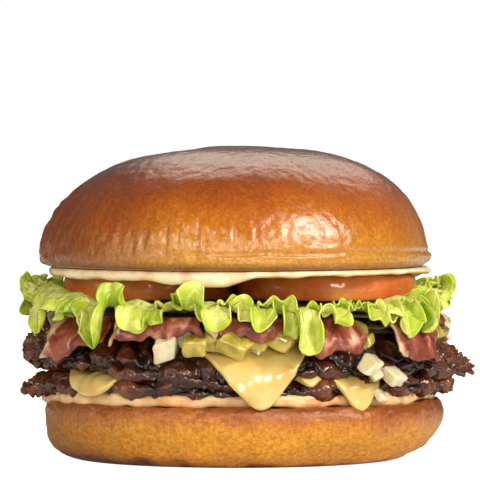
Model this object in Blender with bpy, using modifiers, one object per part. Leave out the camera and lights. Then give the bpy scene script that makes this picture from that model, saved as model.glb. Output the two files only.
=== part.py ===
"""A double cheeseburger in a glazed bun, standing on the flat underside of its heel.

Sizes are in millimetres and are written to the meshes in metres. Angles run round the burger
from its front (-Y), positive towards its right (+X).
"""

import math

import bmesh
import bpy
import numpy as np
from mathutils import Matrix

MM = 0.001

# Heights of the layers at the middle of the burger, from the table up.
HEEL_TOP = 17.1
LOWER_PATTY = (18.8, 25.8)
UPPER_PATTY = (28.1, 35.6)
LETTUCE_HEIGHT = 44.6
TOMATO = (46.2, 52.3)
CROWN_BASE = 54.4
CROWN_TOP = 88.4
LAYER_GAP = 0.3
BEND_SLACK = 0.8
# Where the rings of points lie in a sheet that bends over a patty's edge.
SHEET_LEVELS = (0, 0.25, 0.5, 0.75, 1)
SHEET_SHARES = (1, 0.9, 0.76, 0.6, 0)

# Bun
CROWN_RADIUS = 55.7
CROWN_CENTRE_X = -1.7
CROWN_LIP = 3.1
HEEL_RADIUS = 57.1
HEEL_CENTRE_X = 0.9
HEEL_FOOT_X = -1.0
HEEL_FOOT_RADIUS = 43.5
HEEL_WIDEST = 13.5

# Patties: how far the edge reaches and how high it lies, at stations round the burger.
DROOP_START = 40.0
UPPER_REACH = (
    (-90, 62.8), (-74, 58.8), (-58, 56), (-30, 55), (0, 54.6), (30, 55), (50, 57), (68, 61),
    (86, 67.2), (98, 66), (118, 60), (150, 57), (185, 56.5), (215, 57.5), (245, 60),
)
UPPER_EDGE = (
    (-90, 30.4), (-74, 29.0), (-50, 29), (-30, 26.8), (0, 26.4), (30, 26.8), (60, 27.2), (88, 24.9),
    (120, 27), (150, 26.6), (185, 27), (215, 26.6), (245, 29),
)
LOWER_REACH = (
    (-90, 62.4), (-72, 58.8), (-52, 56), (-30, 55.4), (0, 54.4), (30, 55), (60, 57.5), (88, 60.8),
    (120, 57.5), (150, 56), (185, 55.5), (215, 56.5), (245, 58.5),
)
LOWER_EDGE = (
    (-90, 20.4), (-60, 20.2), (-30, 20.1), (0, 20.1), (30, 20.1), (60, 20.4), (90, 20.8),
    (150, 20.3), (210, 20.2), (240, 20.0),
)
CRAG_DEPTH = 1.7

# Cheese slices: square, with the corners melted round and hanging over the patties' edge.
CHEESE_THICKNESS = 1.5
CHEESE_HALF_SIDE = 43.5
UPPER_CHEESE_CORNER = 7.0
LOWER_CHEESE_CORNER = 38.0

# Sauce on the heel, and the notches where cheese hangs past it.
SAUCE_REACH = 56.0
SAUCE_NOTCHES = ((6.5, 12.0), (35.0, 9.0))

# Mayonnaise under the crown: how low its edge hangs, at stations round the burger.
MAYO_REACH = 53.0
MAYO_LOW = (
    (-75, 52.2), (-50, 52.0), (-32, 52.2), (-17, 50.8), (-5, 50.2), (6, 52.3), (24, 52.4),
    (60, 52.6), (90, 51.8), (112, 50.8), (140, 52.2), (165, 50.6), (190, 52.2), (225, 50.8), (255, 52.3),
)

# Tomato slices: centre x, centre y and radius.
TOMATO_SLICES = {
    "tomato_slice_left": (-25.5, -4.0, 23.9),
    "tomato_slice_right": (24.3, -7.0, 25.3),
    "tomato_slice_back": (0.5, 31.3, 18.8),
}

# Ham strips: middle angle, half width and sideways lean in degrees, the height of the edge at its
# left and right, the radius of the fold, and how far out the strip hangs.
HAM_STRIPS = (
    (-50, 12, -5, 27.6, 31.5, 8.0, 59.6), (-27.5, 8, 2, 37.0, 40.6, 3.5, 58.3),
    (8, 9.5, 0, 37.6, 37.4, 3.5, 58.0), (27.5, 6.5, 0, 31.0, 32.6, 8.0, 58.3),
    (51, 10, 5, 31.0, 27.6, 8.0, 60.6), (83, 9, -3, 38.8, 38.2, 3.5, 57.6),
    (116, 9, 3, 31.5, 29.0, 8.0, 63.6), (150, 11, -4, 28.5, 31.0, 8.0, 60.4),
    (181, 10, 0, 38.0, 39.0, 3.5, 59.8), (210, 10, 4, 29.0, 28.0, 8.0, 60.8),
    (240, 9, 0, 31.0, 33.0, 7.0, 62.8),
)
HAM_THICKNESS = 1.2
HAM_HEIGHT = 41.4
HAM_INNER = 26.0

# Lettuce leaves: first and last angle of each.
LETTUCE_LEAVES = {
    "lettuce_leaf_front": (-47.0, 31.0),
    "lettuce_leaf_right": (35.0, 125.0),
    "lettuce_leaf_back": (129.0, 219.0),
    "lettuce_leaf_left": (223.0, 309.5),
}
LEAF_THICKNESS = 0.8
LEAF_INNER = 9.0
FRILL_START = 55.0
FRILL_BEND = 5.0
FRILL_WAVE = 11.7
FRILL_PEAK = -36.0
# Lobes that hang or stand out: angle, half width in degrees, extra length, slope in radians and
# how much further out they leave the burger.
FRILL_LOBES = (
    (-88.0, 8.0, 1.5, 1.05, 1.0), (-63.5, 4.5, 7.5, -1.45, 2.4), (-41.5, 3.5, 6.5, -1.45, 2.4),
    (-36.0, 2.5, 1.6, 1.25, 0.0), (-12.5, 2.5, 1.6, 1.25, 0.0), (17.0, 4.0, 8.0, -1.45, 1.6),
    (90.0, 9.0, 1.0, 0.8, 1.4),
)

# Relish of diced onion and pickle: angle, distance in from the patty's edge and size of each piece
# that shows. Then the angle, radius, height and size of the onion that slid out.
DICE = (
    (-20.5, 3.8, 6.0), (-13.0, 6.8, 5.0), (-8.0, 4.2, 5.8), (1.5, 3.6, 5.4), (11.0, 4.4, 5.2),
    (38.8, 5.6, 4.4), (68.5, 5.5, 5.4), (132.0, 6.0, 5.6), (165.0, 6.0, 6.0),
    (175.5, 6.0, 5.4), (186.5, 6.0, 5.6), (196.5, 6.0, 6.0), (228.0, 5.5, 6.2), (254.5, 6.0, 5.8),
    (260.5, 6.5, 5.2),
)
STRAY_ONION = {
    "onion_piece_upper": (36.2, 60.6, 28.4, 5.8),
    "onion_piece_middle": (43.6, 62.0, 25.0, 5.4),
    "onion_piece_lower": (41.5, 58.6, 19.6, 3.2),
}


def ramp(t):
    """0 below 0, 1 above 1, and smooth between."""
    t = np.clip(t, 0.0, 1.0)
    return t * t * (3 - 2 * t)


def around(angle, stations):
    """The value at an angle in degrees, smooth between (angle, value) stations round a full turn."""
    angles = np.array([s[0] for s in stations], float)
    values = np.array([s[1] for s in stations], float)
    angles = np.append(angles, angles[0] + 360)
    values = np.append(values, values[0])
    turned = (np.asarray(angle, float) - angles[0]) % 360 + angles[0]
    i = np.clip(np.searchsorted(angles, turned, side="right") - 1, 0, len(angles) - 2)
    share = (turned - angles[i]) / (angles[i + 1] - angles[i])
    return values[i] + (values[i + 1] - values[i]) * ramp(share)


def bump(angle, centre, half_width):
    """A smooth hump of height 1 at centre, in degrees."""
    away = (np.asarray(angle, float) - centre + 180) % 360 - 180
    return np.exp(-((away / half_width) ** 2))


def polar(angle, radius, height):
    """Points at an angle from the front, in millimetres."""
    turn = np.radians(angle)
    return np.stack([radius * np.sin(turn), -radius * np.cos(turn), height], axis=-1)


def coloured(name, colour, roughness):
    material = bpy.data.materials.new(name)
    material.use_nodes = True
    shader = material.node_tree.nodes["Principled BSDF"]
    shader.inputs["Base Color"].default_value = (*colour, 1.0)
    shader.inputs["Roughness"].default_value = roughness
    shader.inputs["Metallic"].default_value = 0.0
    material.diffuse_color = (*colour, 1.0)
    return material


def moved(mesh, place):
    """Moves each vertex to place(its coordinates), given and returned as an array in millimetres."""
    points = np.empty(len(mesh.vertices) * 3)
    mesh.vertices.foreach_get("co", points)
    mesh.vertices.foreach_set("co", (place(points.reshape(-1, 3)) * MM).ravel())
    mesh.update()


def finished(name, edit, material, sharp_degrees=50):
    """An object in the burger's collection, from a bmesh that is then freed."""
    mesh = bpy.data.meshes.new(name)
    edit.to_mesh(mesh)
    edit.free()
    mesh.materials.append(material)
    obj = bpy.data.objects.new(name, mesh)
    BURGER.objects.link(obj)
    mesh.shade_smooth()
    mesh.set_sharp_from_angle(angle=math.radians(sharp_degrees))
    return obj


def wrapped_sphere(name, segments, rings, place, material):
    """A sphere drawn over a shape: place(angle, level) gives a point for a level from -1 at the middle
    of the underside, through 0 at the rim, to 1 at the middle of the top."""
    edit = bmesh.new()
    bmesh.ops.create_uvsphere(edit, u_segments=segments, v_segments=rings, radius=1.0)
    obj = finished(name, edit, material)

    def from_sphere(points):
        angle = np.degrees(np.arctan2(points[:, 0], -points[:, 1]))
        level = np.degrees(np.arcsin(np.clip(points[:, 2], -1, 1))) / 90
        level = np.round(level, 6)
        return place(angle, level)

    moved(obj.data, from_sphere)
    return obj


def wavy_sheet(name, across, along, place, thickness, material):
    """A thin sheet: place(u, v) gives a point of its middle surface for u and v from 0 to 1."""
    edit = bmesh.new()
    bmesh.ops.create_grid(edit, x_segments=across, y_segments=along, size=0.5)
    bmesh.ops.triangulate(edit, faces=edit.faces)
    obj = finished(name, edit, material)
    moved(obj.data, lambda points: place(points[:, 0] + 0.5, points[:, 1] + 0.5))
    shell = obj.modifiers.new("Thickness", "SOLIDIFY")
    shell.thickness = thickness * MM
    shell.offset = 0.0
    return obj


def crown_point(angle, level):
    """A dome over a short rolled lip and a flat cut face."""
    turn = np.radians(angle)
    radius = CROWN_RADIUS * (1 + 0.010 * np.sin(2 * turn + 0.6) + 0.007 * np.sin(3 * turn + 2))
    widest = CROWN_BASE + CROWN_LIP
    fullness = 2.75 + 0.35 * np.sin(turn)
    share = np.cos(np.maximum(level, 0) * math.pi / 2)
    dome = widest + (CROWN_TOP - widest) * np.sqrt(np.maximum(1 - share**fullness, 0))
    lip_levels = 0.35
    roll = np.clip(-level / lip_levels, 0, 1) * math.pi / 2
    inward = np.clip((-level - lip_levels) / (1 - lip_levels), 0, 1)
    under = (radius - CROWN_LIP * (1 - np.cos(roll))) * (1 - inward)
    out = np.where(level >= 0, radius * share, under)
    height = np.where(level >= 0, dome, widest - CROWN_LIP * np.sin(roll))
    points = polar(angle, out, height)
    points[:, 0] += CROWN_CENTRE_X
    return points


def heel_point(angle, level):
    """A flat foot, a side that swells outwards, a soft top edge and a flat cut face."""
    turn = np.radians(angle)
    radius = HEEL_RADIUS * (1 + 0.008 * np.sin(2 * turn + 1.1) + 0.006 * np.sin(5 * turn))
    side_levels = 0.6
    rise = np.clip(1 + level / side_levels, 0, 1) * math.pi / 2
    foot_share = np.clip((1 + level) / (1 - side_levels), 0, 1)
    below = np.where(
        level > -side_levels,
        HEEL_FOOT_RADIUS + (radius - HEEL_FOOT_RADIUS) * np.sin(rise),
        HEEL_FOOT_RADIUS * foot_share,
    )
    below_height = HEEL_WIDEST * (1 - np.cos(rise))
    edge_levels, edge_round = 0.45, 2.2
    edge = np.clip(level / edge_levels, 0, 1) * math.pi / 2
    inner = np.clip((1 - level) / (1 - edge_levels), 0, 1)
    above = (radius - edge_round * (1 - np.cos(edge))) * inner
    above_height = HEEL_WIDEST + (HEEL_TOP - HEEL_WIDEST) * np.sin(edge)
    points = polar(
        angle, np.where(level < 0, below, above), np.where(level < 0, below_height, above_height)
    )
    points[:, 0] += HEEL_FOOT_X + (HEEL_CENTRE_X - HEEL_FOOT_X) * ramp(points[:, 2] / HEEL_WIDEST)
    return points


def patty_form(angle, share, heights, reach, edge):
    """(radius, middle height, half thickness) at a share of the way out to a patty's edge."""
    limit = around(angle, reach)
    radius = share * limit
    middle = sum(heights) / 2
    fall = np.clip((radius - DROOP_START) / (limit - DROOP_START), 0, 1) ** 2
    bluntness = 8 + 10 * bump(angle, -92, 16) + 8 * bump(angle, 92, 14)
    half = (heights[1] - heights[0]) / 2 * np.sqrt(np.maximum(1 - share**bluntness, 0))
    return radius, middle + (around(angle, edge) - middle) * fall, half


def crags(angle, height, depth):
    """How far the browned crust is pitted inwards, from 0 to depth."""
    turn = np.radians(angle)
    wave = np.sin(17 * turn + 0.5 * height) + 0.8 * np.sin(29 * turn + 1.3 - 0.8 * height)
    return depth * (0.5 + 0.28 * wave)


def patty_point(heights, reach, edge):
    def place(angle, level):
        share = 1 - np.abs(level) ** 2.6
        radius, middle, half = patty_form(angle, share, heights, reach, edge)
        height = middle + np.sign(level) * half
        rim = ramp((share - 0.6) / 0.3)
        pitted = radius - crags(angle, height, CRAG_DEPTH) * rim
        sunk = crags(angle + 7, radius, 0.5 * CRAG_DEPTH) * rim * (np.abs(level) > 0.01)
        return polar(angle, pitted, height - np.sign(level) * np.minimum(sunk, 0.7 * half))

    return place


def over_the_shoulder(angle, patty, hang_radius=None):
    """The line from a patty's middle over its top to its edge and straight down, at each angle: radius,
    height and distance travelled, with the edge second from the end."""
    steps = 44
    share = np.sin(np.linspace(0, math.pi / 2, steps))[None, :] * np.ones((len(angle), 1))
    wide = np.repeat(angle[:, None], steps, axis=1)
    radius, middle, half = patty_form(wide, share, *patty)
    height = middle + half
    if hang_radius is not None:
        radius = radius * np.maximum(hang_radius / radius[:, -1], 1)[:, None]
    radius = np.append(radius, radius[:, -1:] + 0.01, axis=1)
    height = np.append(height, height[:, -1:] - 40, axis=1)
    run = np.hypot(np.diff(radius, axis=1), np.diff(height, axis=1))
    travelled = np.concatenate([np.zeros((len(angle), 1)), np.cumsum(run, axis=1)], axis=1)
    return radius, height, travelled


def draped(angle, length, lift, patty, hang_radius=None):
    """Points of a sheet that lies over a patty and hangs straight down past its edge, and its slope.

    length is measured along the sheet from the middle, and lift is how far it stands off the patty."""
    radius, height, travelled = over_the_shoulder(angle, patty, hang_radius)
    lift = lift + BEND_SLACK * ramp((length - travelled[:, -2] + 14) / 4)
    out_r, out_z, fall = np.empty(len(angle)), np.empty(len(angle)), np.empty(len(angle))
    for i in range(len(angle)):
        at = np.array([length[i] - 0.8, length[i], length[i] + 0.8])
        r = np.interp(at, travelled[i], radius[i])
        z = np.interp(at, travelled[i], height[i])
        slope = np.hypot(r[2] - r[0], z[2] - z[0])
        out_r[i] = r[1] - lift[i] * (z[2] - z[0]) / slope
        out_z[i] = z[1] + lift[i] * (r[2] - r[0]) / slope
        fall[i] = math.atan2(z[0] - z[2], r[2] - r[0])
    return out_r, out_z, fall


def square_reach(angle, corner, half_side, rounding):
    """How far a square sheet with rounded corners reaches, with one corner at the given angle."""
    turn = np.radians(angle - corner + 45)
    power = rounding
    return half_side / (np.abs(np.cos(turn)) ** power + np.abs(np.sin(turn)) ** power) ** (1 / power)


def cheese_point(corner, patty, drips, hang_radius, gap):
    def place(angle, level):
        share = np.interp(np.abs(level), SHEET_LEVELS, SHEET_SHARES)
        length = share * square_reach(angle, corner, CHEESE_HALF_SIDE, 7)
        for centre, half_width, extra in drips:
            length = length + extra * bump(angle, centre, half_width) * ramp((share - 0.7) / 0.3)
        round_edge = np.sqrt(np.maximum(1 - share**24, 0))
        lift = gap + CHEESE_THICKNESS / 2 * (1 + np.sign(level) * round_edge)
        radius, height, _ = draped(
            angle, np.maximum(length, 0.01), lift, patty, around(angle, hang_radius)
        )
        return polar(angle, np.where(share > 0, radius, 0), height)

    return place


def sauce_point(angle, level):
    """A thin spread over the heel that swells into a bead at its edge."""
    turn = np.radians(angle)
    reach = SAUCE_REACH + 0.5 * np.sin(9 * turn + 1) + 0.4 * np.sin(14 * turn)
    for centre, half_width in SAUCE_NOTCHES:
        reach = reach - 2.6 * bump(angle, centre, half_width)
    share = 1 - np.abs(level) ** 2.4
    radius = reach * share
    base = HEEL_TOP + LAYER_GAP
    top = LOWER_PATTY[0] - LAYER_GAP
    return polar(angle, radius, np.where(level > 0, top, np.where(level < 0, base, (base + top) / 2)))


def mayo_point(angle, level):
    """A thin spread under the crown whose edge hangs in slow drips."""
    turn = np.radians(angle)
    reach = MAYO_REACH + 0.35 * np.sin(7 * turn) + 0.25 * np.sin(12 * turn + 2)
    share = 1 - level**4
    radius = reach * share
    top = CROWN_BASE - LAYER_GAP
    base = TOMATO[1] + LAYER_GAP
    hang = around(angle, MAYO_LOW)
    low = base + (hang - base) * ramp((radius - 50.4) / 1.2)
    height = np.where(level > 0, top, low)
    height = np.where(level == 0, (top + hang) / 2, height)
    return polar(angle, radius, height)


def tomato_point(centre_x, centre_y, radius):
    def place(angle, level):
        share = 1 - np.abs(level) ** 3
        middle = sum(TOMATO) / 2
        half = (TOMATO[1] - TOMATO[0]) / 2 * np.sqrt(np.maximum(1 - share**14, 0))
        turn = np.radians(angle)
        out = radius * (1 + 0.012 * np.sin(3 * turn + centre_x)) * share / 1.012
        points = polar(angle, out, middle + np.sign(level) * half)
        return points + np.array([centre_x, centre_y, 0.0])

    return place


def ham_point(middle_angle, half_width, lean, low_left, low_right, fold, hang_radius):
    """A strip that runs out flat from inside the burger, folds over the shoulder and hangs."""

    def place(u, v):
        angle = middle_angle + (2 * u - 1) * half_width * (0.75 + 0.25 * v) + lean * v * v
        ripple = 0.5 * np.sin(u * 2.6 * math.pi + middle_angle) * ramp((v - 0.45) / 0.3)
        outside = hang_radius + ripple
        flat = outside - fold - HAM_INNER
        low = low_left + (low_right - low_left) * u
        turn_end = np.arccos(np.clip((low - HAM_HEIGHT + fold) / fold, 0, 1))
        drop = np.maximum(HAM_HEIGHT - fold - low, 0)
        run = v * (flat + fold * turn_end + drop)
        turned = np.clip((run - flat) / fold, 0, turn_end)
        fallen = np.maximum(run - flat - fold * turn_end, 0)
        radius = HAM_INNER + np.minimum(run, flat) + fold * np.sin(turned)
        height = HAM_HEIGHT - fold * (1 - np.cos(turned)) - fallen
        return polar(angle, radius, height)

    return place


def frill_floor(angle):
    """How steeply the frill may turn down, in radians, at each angle."""
    return around(
        angle,
        ((-137, 0.6), (-100, 0.15), (-76, 0.2), (-66, 1.45), (-40, 1.45), (34, 1.45), (48, 0.75),
         (70, 0.25), (110, 0.25), (125, 0.5), (150, 1.1), (190, 1.2)),
    )


def leaf_point(first, last):
    """A leaf that lies flat inside the burger and breaks into a deep frill past its edge."""

    def place(u, v):
        angle = first + (last - first) * u
        phase = np.radians((angle - FRILL_PEAK) / FRILL_WAVE * 360) + 0.5 * np.sin(np.radians(3.1 * angle))
        flat_share = 0.36
        flat = np.clip(v / flat_share, 0, 1)
        out = np.clip((v - flat_share) / (1 - flat_share), 0, 1)
        end_fade = ramp(np.minimum(u, 1 - u) * (last - first) / 5)
        swing = np.cos(phase)
        swing = swing * (1.5 - 0.5 * swing**2)
        steep = np.where(swing > 0, 1.25 * swing, frill_floor(angle) * swing) * (0.35 + 0.65 * end_fade)
        free = 7.6 + 1.0 * np.sin(np.radians(7 * angle + 40))
        start = FRILL_START + 0 * angle
        for centre, half_width, extra, slope, outward in FRILL_LOBES:
            lobe = bump(angle, centre, half_width)
            free = free + extra * lobe
            start = start + outward * bump(angle, centre, 1.8 * half_width)
            steep = steep + (slope - steep) * np.minimum(1.6 * lobe, 1)
        steep = np.where(np.abs(steep) < 1e-3, 1e-3, steep)
        free = free * (0.7 + 0.3 * end_fade)
        run = out * free
        bent = np.minimum(run, FRILL_BEND)
        turned = steep * bent / FRILL_BEND
        straight = run - bent
        curl = FRILL_BEND / steep
        radius = start + curl * np.sin(turned) + straight * np.cos(turned)
        height = LETTUCE_HEIGHT + curl * (1 - np.cos(turned)) + straight * np.sin(turned)
        radius = np.where(v < flat_share, LEAF_INNER + (start - LEAF_INNER) * flat, radius)
        ripple = 0.55 * np.sin(phase) * ramp((radius - 30) / 20) * (1 - out)
        overhang = -1.1 * out**2 * np.sin(2 * phase) * end_fade
        return polar(angle + np.degrees(overhang / radius), radius, height + ripple)

    return place


def relish(material):
    """A bed of relish with the dice that show at its edge fused on by one union."""
    patty = (UPPER_PATTY, UPPER_REACH, UPPER_EDGE)

    def bed_point(angle, level):
        share = np.interp(np.abs(level), SHEET_LEVELS, SHEET_SHARES)
        near_dice = 0 * angle
        for at, inset, size in DICE:
            near_dice = np.maximum(near_dice, bump(angle, at, 5.0))
        edge = over_the_shoulder(angle, patty)[2][:, -2]
        reach = edge - 15 + 12 * near_dice
        half = 1.2 * np.sqrt(np.maximum(1 - share**10, 0))
        lift = LAYER_GAP * 2 + CHEESE_THICKNESS + 1.6 + np.sign(level) * half
        radius, height, _ = draped(angle, np.maximum(share * reach, 0.01), lift, patty)
        return polar(angle, np.where(share > 0, radius, 0), height)

    bed = wrapped_sphere("relish", 56, 8, bed_point, material)
    pieces = bpy.data.collections.new("relish dice")
    bpy.context.scene.collection.children.link(pieces)
    draw = np.random.default_rng(7)
    for number, (at, inset, size) in enumerate(DICE):
        angle = np.array([float(at)])
        edge = over_the_shoulder(angle, patty)[2][:, -2]
        lift = LAYER_GAP * 2 + CHEESE_THICKNESS + 0.5 * size
        radius, height, fall = draped(angle, edge - inset, np.array([lift]), patty)
        edit = bmesh.new()
        bmesh.ops.create_cube(edit, size=size * MM)
        mesh = bpy.data.meshes.new(f"dice {number}")
        edit.to_mesh(mesh)
        edit.free()
        piece = bpy.data.objects.new(f"dice {number}", mesh)
        piece.location = polar(angle, radius, height)[0] * MM
        lean = Matrix.Rotation(fall[0], 4, "X") @ Matrix.Rotation(draw.uniform(-0.35, 0.35), 4, "Z")
        piece.rotation_euler = (Matrix.Rotation(math.radians(at), 4, "Z") @ lean).to_euler()
        pieces.objects.link(piece)
    join = bed.modifiers.new("Fused dice", "BOOLEAN")
    join.operation = "UNION"
    join.operand_type = "COLLECTION"
    join.collection = pieces
    join.solver = "MANIFOLD"
    bpy.context.view_layer.update()
    joined = bpy.data.meshes.new_from_object(bed.evaluated_get(bpy.context.evaluated_depsgraph_get()))
    bed.modifiers.clear()
    bed.data = joined
    for piece in list(pieces.objects):
        bpy.data.objects.remove(piece)
    bpy.data.collections.remove(pieces)
    return bed


def stray_onion(name, angle, radius, height, size, material):
    """A loose cube of onion that slid out and lies against the patty's edge."""
    edit = bmesh.new()
    bmesh.ops.create_cube(edit, size=size * MM)
    bmesh.ops.bevel(edit, geom=edit.edges, offset=0.12 * size * MM, segments=1, affect="EDGES")
    piece = finished(name, edit, material)
    piece.location = polar(np.array([angle]), radius, np.array([height]))[0] * MM
    piece.rotation_euler = (0.25, 0.2, math.radians(angle) + 0.3)
    return piece


for old in list(bpy.data.objects):
    bpy.data.objects.remove(old)
BURGER = bpy.data.collections.new("cheeseburger")
bpy.context.scene.collection.children.link(BURGER)

glazed_crust = coloured("glazed crust", (0.42, 0.15, 0.035), 0.35)
baked_crust = coloured("baked crust", (0.62, 0.31, 0.08), 0.55)
mayonnaise = coloured("mayonnaise", (0.72, 0.55, 0.33), 0.3)
burger_sauce = coloured("burger sauce", (0.78, 0.50, 0.27), 0.3)
tomato_skin = coloured("tomato skin", (0.50, 0.12, 0.03), 0.25)
lettuce_green = coloured("lettuce green", (0.40, 0.50, 0.08), 0.4)
cured_ham = coloured("cured ham", (0.30, 0.06, 0.03), 0.35)
browned_beef = coloured("browned beef", (0.07, 0.028, 0.016), 0.5)
melted_cheese = coloured("melted cheese", (0.80, 0.60, 0.17), 0.3)
onion_white = coloured("onion white", (0.72, 0.68, 0.48), 0.3)
pickle_green = coloured("pickle green", (0.42, 0.36, 0.06), 0.3)

LOWER = (LOWER_PATTY, LOWER_REACH, LOWER_EDGE)
UPPER = (UPPER_PATTY, UPPER_REACH, UPPER_EDGE)
BOTH_EDGES = tuple((a, max(around(a, UPPER_REACH), around(a, LOWER_REACH))) for a in range(-180, 180, 8))

wrapped_sphere("heel_bun", 52, 10, heel_point, baked_crust)
wrapped_sphere("burger_sauce", 48, 6, sauce_point, burger_sauce)
wrapped_sphere("lower_patty", 56, 8, patty_point(*LOWER), browned_beef)
wrapped_sphere(
    "lower_cheese", 56, 8,
    cheese_point(LOWER_CHEESE_CORNER, LOWER, ((34, 6, 5.0), (22, 4, 2.0)), LOWER_REACH, LAYER_GAP),
    melted_cheese,
)
wrapped_sphere("upper_patty", 56, 8, patty_point(*UPPER), browned_beef)
wrapped_sphere(
    "upper_cheese", 56, 8,
    cheese_point(UPPER_CHEESE_CORNER, UPPER, ((6.5, 8, 10.0),), BOTH_EDGES, 0.5),
    melted_cheese,
)
relish(pickle_green)
for onion_name, (at, reach, height, size) in STRAY_ONION.items():
    stray_onion(onion_name, at, reach, height, size, onion_white)
for number, strip in enumerate(HAM_STRIPS, start=1):
    wavy_sheet(f"ham_strip_{number}", 4, 7, ham_point(*strip), HAM_THICKNESS, cured_ham)
for leaf_name, span in LETTUCE_LEAVES.items():
    wavy_sheet(leaf_name, 38, 5, leaf_point(*span), LEAF_THICKNESS, lettuce_green)
for slice_name, form in TOMATO_SLICES.items():
    wrapped_sphere(slice_name, 24, 6, tomato_point(*form), tomato_skin)
wrapped_sphere("mayonnaise", 56, 8, mayo_point, mayonnaise)
wrapped_sphere("crown_bun", 52, 14, crown_point, glazed_crust)
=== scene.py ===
"""A double cheeseburger in a glazed bun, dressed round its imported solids.

The sections follow the burger as it is stacked, from the heel to the crown. Sizes are in
millimetres, and angles run round the burger in degrees from its front, positive towards its right.
"""

import itertools
import math

import bpy
import numpy as np
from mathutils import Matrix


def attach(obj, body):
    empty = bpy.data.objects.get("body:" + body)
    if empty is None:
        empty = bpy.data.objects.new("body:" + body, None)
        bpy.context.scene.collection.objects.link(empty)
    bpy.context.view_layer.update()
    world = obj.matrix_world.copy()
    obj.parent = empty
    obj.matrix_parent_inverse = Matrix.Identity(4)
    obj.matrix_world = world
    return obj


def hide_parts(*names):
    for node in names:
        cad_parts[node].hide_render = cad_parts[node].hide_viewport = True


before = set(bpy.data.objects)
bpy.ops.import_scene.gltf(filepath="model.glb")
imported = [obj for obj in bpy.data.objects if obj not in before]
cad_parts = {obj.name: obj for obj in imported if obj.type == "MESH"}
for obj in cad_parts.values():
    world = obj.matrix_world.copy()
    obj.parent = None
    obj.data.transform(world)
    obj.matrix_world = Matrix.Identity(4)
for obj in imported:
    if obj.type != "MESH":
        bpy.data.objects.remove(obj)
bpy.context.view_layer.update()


# Heel of the bun: the bottom half of a brioche roll, baked golden with a browner rim where its cut
# face was toasted. Its side swells out from a flat foot, and its crust is finely pitted. RIM is the
# radius at which distances round the burger are measured.
MM = 0.001
RIM = 56.0
HEEL_TOP = 17.1
HEEL_RADIUS = 57.1
HEEL_WIDEST = 13.5
HEEL_FOOT_RADIUS = 43.5
HEEL_CENTRE_X = 0.9
HEEL_FOOT_X = -1.0


def linear(code):
    """Turns an sRGB hex code into linear red, green and blue, with alpha 1."""
    parts = np.array([int(code[start:start + 2], 16) for start in (1, 3, 5)]) / 255
    spread = np.where(parts <= 0.04045, parts / 12.92, ((parts + 0.055) / 1.055) ** 2.4)
    return (*spread.tolist(), 1.0)


def add_node(finish, kind, inputs=None, stops=None, **settings):
    """Adds a node: settings are its properties, inputs the values, sockets or nodes that feed it, and
    stops the places and hex codes of a colour ramp. A node feeds from its first output."""
    made = finish.node_tree.nodes.new("ShaderNode" + kind)
    for name, value in settings.items():
        setattr(made, name, value)
    for number, (place, code) in enumerate(stops or ()):
        ramp_stops = made.color_ramp.elements
        stop = ramp_stops[number] if number < len(ramp_stops) else ramp_stops.new(place)
        stop.position = place
        stop.color = linear(code)
    for socket, value in (inputs or {}).items():
        value = value.outputs[0] if isinstance(value, bpy.types.Node) else value
        if isinstance(value, bpy.types.NodeSocket):
            finish.node_tree.links.new(value, made.inputs[socket])
        else:
            made.inputs[socket].default_value = value
    return made


def new_finish(name, **sockets):
    """A material with a Principled shader, whose uniform values are set on its own sockets, and the
    Object coordinates that its patterns read. Names have _ for a space."""
    finish = bpy.data.materials.new(name)
    finish.use_nodes = True
    for socket, value in sockets.items():
        finish.node_tree.nodes["Principled BSDF"].inputs[socket.replace("_", " ")].default_value = value
    return finish, add_node(finish, "TexCoord").outputs["Object"]


def wire(finish, **sources):
    """Feeds the Principled shader's sockets from nodes, each from its first output, or from sockets."""
    shader = finish.node_tree.nodes["Principled BSDF"]
    for name, source in sources.items():
        source = source.outputs[0] if isinstance(source, bpy.types.Node) else source
        finish.node_tree.links.new(source, shader.inputs[name.replace("_", " ")])


def ramp(value):
    """0 below 0, 1 above 1, and smooth between."""
    value = np.clip(value, 0.0, 1.0)
    return value * value * (3 - 2 * value)


def bump(angle, centre, half_width):
    """A smooth hump of height 1 at centre, falling off over half_width, that wraps round at 360."""
    away = (angle - centre + 180) % 360 - 180
    return np.exp(-((away / half_width) ** 2))


def stacked(*parts):
    """Points, or polygons, from arrays of their coordinates or corners that broadcast together."""
    return np.stack(np.broadcast_arrays(*parts), axis=-1)


def polar(angle, radius, height):
    """Points at an angle from the front."""
    turn = np.radians(angle)
    return stacked(radius * np.sin(turn), -radius * np.cos(turn), height)


def round_and_up(columns, rows, reach=1.0):
    """The angle of each column of a grid, and a number from -reach to reach for each row."""
    return np.arange(columns) * 360 / columns, np.linspace(-reach, reach, rows)[:, None]


def round_nose(inward, width):
    """Rises from 0 at an edge to 1 at width inward of it, along a quarter of a circle."""
    near_edge = np.clip(inward / width, 0, 1)
    return np.sqrt(near_edge * (2 - near_edge))


def scattered(cells, seed):
    """A fixed number from 0 to 1 for each cell, hashed from its whole-number corner."""
    mixed = (cells[..., 0] * 73856093) ^ (cells[..., 1] * 19349663) ^ (cells[..., 2] * 83492791)
    mixed = (mixed ^ (seed * 50331653 + 911)) * 1274126177
    mixed = (mixed ^ (mixed >> 15)) * 1103515245
    return ((mixed >> 9) & 0xFFFFF) / 0xFFFFF


def cloud(points, size, seed=0):
    """Smooth noise from -1 to 1: random values at the corners of a lattice with cells of the given
    size, blended across each cell with a quintic ease."""
    scaled = points / size
    cell = np.floor(scaled).astype(np.int64)
    within = scaled - cell
    within = within**3 * (within * (within * 6 - 15) + 10)
    total = 0.0
    for corner in itertools.product((0, 1), repeat=3):
        weight = np.prod(np.where(np.array(corner) == 1, within, 1 - within), axis=-1)
        total = total + weight * scattered(cell + np.array(corner), seed)
    return 2 * total - 1


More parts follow.
